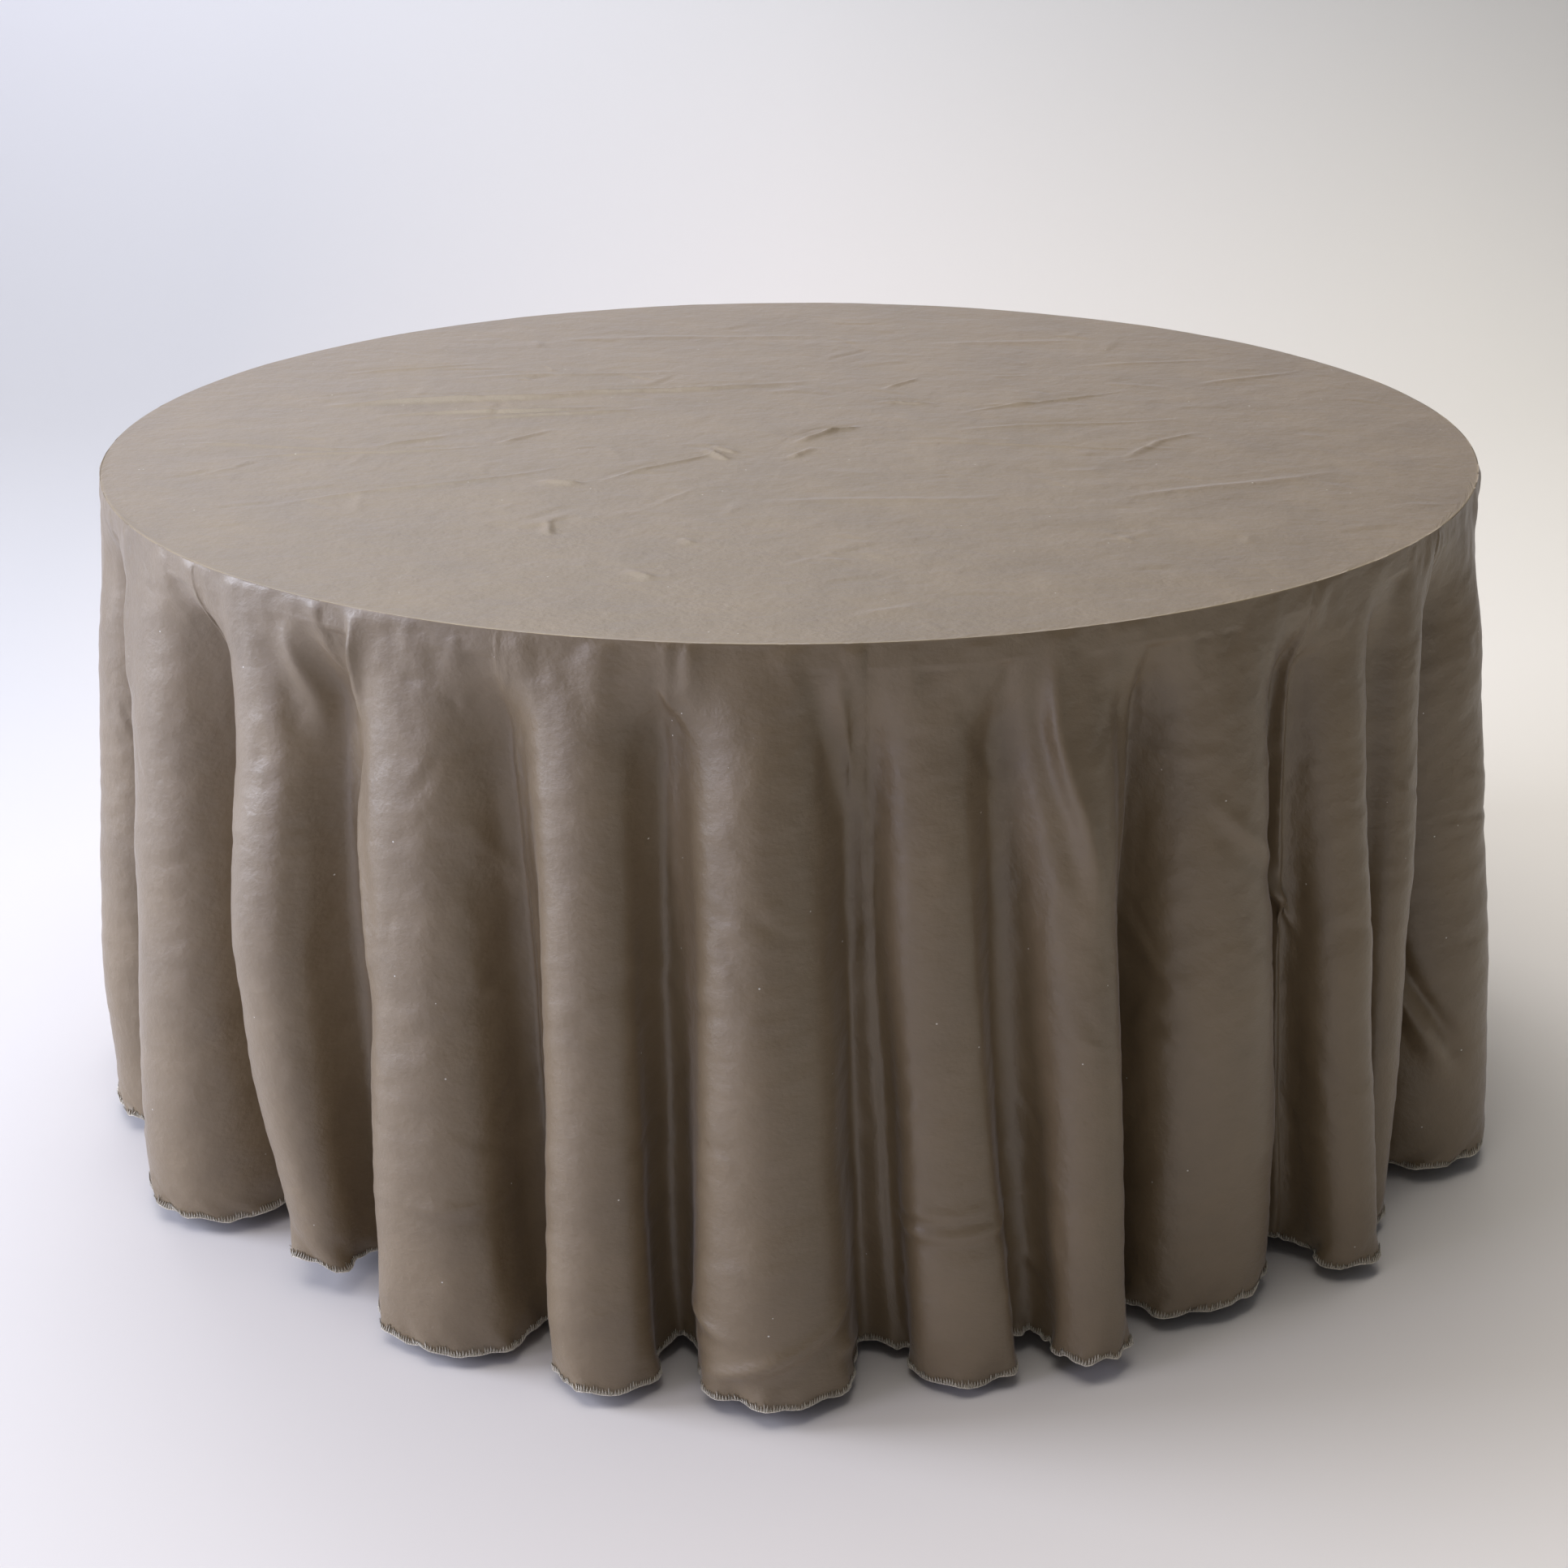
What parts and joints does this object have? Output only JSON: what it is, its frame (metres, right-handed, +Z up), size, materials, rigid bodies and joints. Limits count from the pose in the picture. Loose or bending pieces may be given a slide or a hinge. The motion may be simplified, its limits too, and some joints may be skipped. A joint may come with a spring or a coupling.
{
  "type": "tablecloth on a table",
  "caption": "Round satin tablecloth that hangs to the floor in soft folds over a round folding banquet table, with tube leg frames and knee braces under it.",
  "frame": {"origin": "on the floor, under the centre of the round table top", "axes": "+Z up, -Y the front side that is seen, +X to the right seen from the front; the leg frames turn about lines along Y"},
  "size_m": [1.6464, 1.6856, 0.7635],
  "materials": {
    "satin_cloth": "satin",
    "hem_thread": "matte",
    "plywood": "satin",
    "edge_band": "satin",
    "frame_steel": "satin",
    "zinc_steel": "satin",
    "foot_plastic": "matte"
  },
  "bodies": {
    "table": {"centre_bracket_left": "frame_steel", "centre_bracket_left_screw_1": "zinc_steel", "centre_bracket_left_screw_2": "zinc_steel", "centre_bracket_right": "frame_steel", "centre_bracket_right_screw_1": "zinc_steel", "centre_bracket_right_screw_2": "zinc_steel", "centre_rivet_left": "zinc_steel", "centre_rivet_right": "zinc_steel", "pivot_bracket_left_back": "frame_steel", "pivot_bracket_left_back_screw_1": "zinc_steel", "pivot_bracket_left_back_screw_2": "zinc_steel", "pivot_bracket_left_front": "frame_steel", "pivot_bracket_left_front_screw_1": "zinc_steel", "pivot_bracket_left_front_screw_2": "zinc_steel", "pivot_bracket_right_back": "frame_steel", "pivot_bracket_right_back_screw_1": "zinc_steel", "pivot_bracket_right_back_screw_2": "zinc_steel", "pivot_bracket_right_front": "frame_steel", "pivot_bracket_right_front_screw_1": "zinc_steel", "pivot_bracket_right_front_screw_2": "zinc_steel", "table_edge_band": "edge_band", "table_top_panel": "plywood"},
    "leg_left": {"brace_lug_left": "frame_steel", "foot_cap_left_back": "foot_plastic", "foot_cap_left_front": "foot_plastic", "leg_tube_left_back": "frame_steel", "leg_tube_left_front": "frame_steel", "lug_rivet_left": "zinc_steel", "pivot_tube_left": "frame_steel", "stretcher_left": "frame_steel"},
    "leg_right": {"brace_lug_right": "frame_steel", "foot_cap_right_back": "foot_plastic", "foot_cap_right_front": "foot_plastic", "leg_tube_right_back": "frame_steel", "leg_tube_right_front": "frame_steel", "lug_rivet_right": "zinc_steel", "pivot_tube_right": "frame_steel", "stretcher_right": "frame_steel"},
    "brace_upper_left": {"brace_upper_link_left": "zinc_steel"},
    "brace_upper_right": {"brace_upper_link_right": "zinc_steel"},
    "brace_lower_left": {"brace_lower_link_left": "zinc_steel", "knee_rivet_left": "zinc_steel"},
    "brace_lower_right": {"brace_lower_link_right": "zinc_steel", "knee_rivet_right": "zinc_steel"},
    "cloth": {"tablecloth": "satin_cloth", "hem_thread": "hem_thread"}
  },
  "joints": [
    {"name": "leg_left_fold", "type": "hinge", "parent": "table", "child": "leg_left", "pos_m": [-0.5, 0, 0.7243], "axis": [0, -1, 0], "range_deg": [0, 92.5]},
    {"name": "brace_upper_left_swing", "type": "hinge", "parent": "table", "child": "brace_upper_left", "pos_m": [-0.22, -0.003, 0.7243], "axis": [0, -1, 0], "range_deg": [-41.73, 0.01]},
    {"name": "brace_lower_left_swing", "type": "hinge", "parent": "leg_left", "child": "brace_lower_left", "pos_m": [-0.51134, 0.003, 0.46455], "axis": [0, -1, 0], "range_deg": [-0.01, 45.79]},
    {"name": "leg_right_fold", "type": "hinge", "parent": "table", "child": "leg_right", "pos_m": [0.5, 0, 0.7263], "axis": [0, 1, 0], "range_deg": [0, 92.5]},
    {"name": "brace_upper_right_swing", "type": "hinge", "parent": "table", "child": "brace_upper_right", "pos_m": [0.22, -0.003, 0.7263], "axis": [0, 1, 0], "range_deg": [-41.73, 0.01]},
    {"name": "brace_lower_right_swing", "type": "hinge", "parent": "leg_right", "child": "brace_lower_right", "pos_m": [0.51134, 0.003, 0.46655], "axis": [0, 1, 0], "range_deg": [-0.01, 45.79]},
    {"name": "cloth_lift", "type": "slide", "parent": "table", "child": "cloth", "axis": [0, 0, 1], "range_m": [0, 0.78]}
  ],
  "couplings": [
    {"joint": "brace_upper_left_swing", "follows": "leg_left_fold", "ratio": -0.45102},
    {"joint": "brace_lower_left_swing", "follows": "leg_left_fold", "ratio": 0.49493},
    {"joint": "brace_upper_right_swing", "follows": "leg_right_fold", "ratio": -0.45102},
    {"joint": "brace_lower_right_swing", "follows": "leg_right_fold", "ratio": 0.49493}
  ]
}
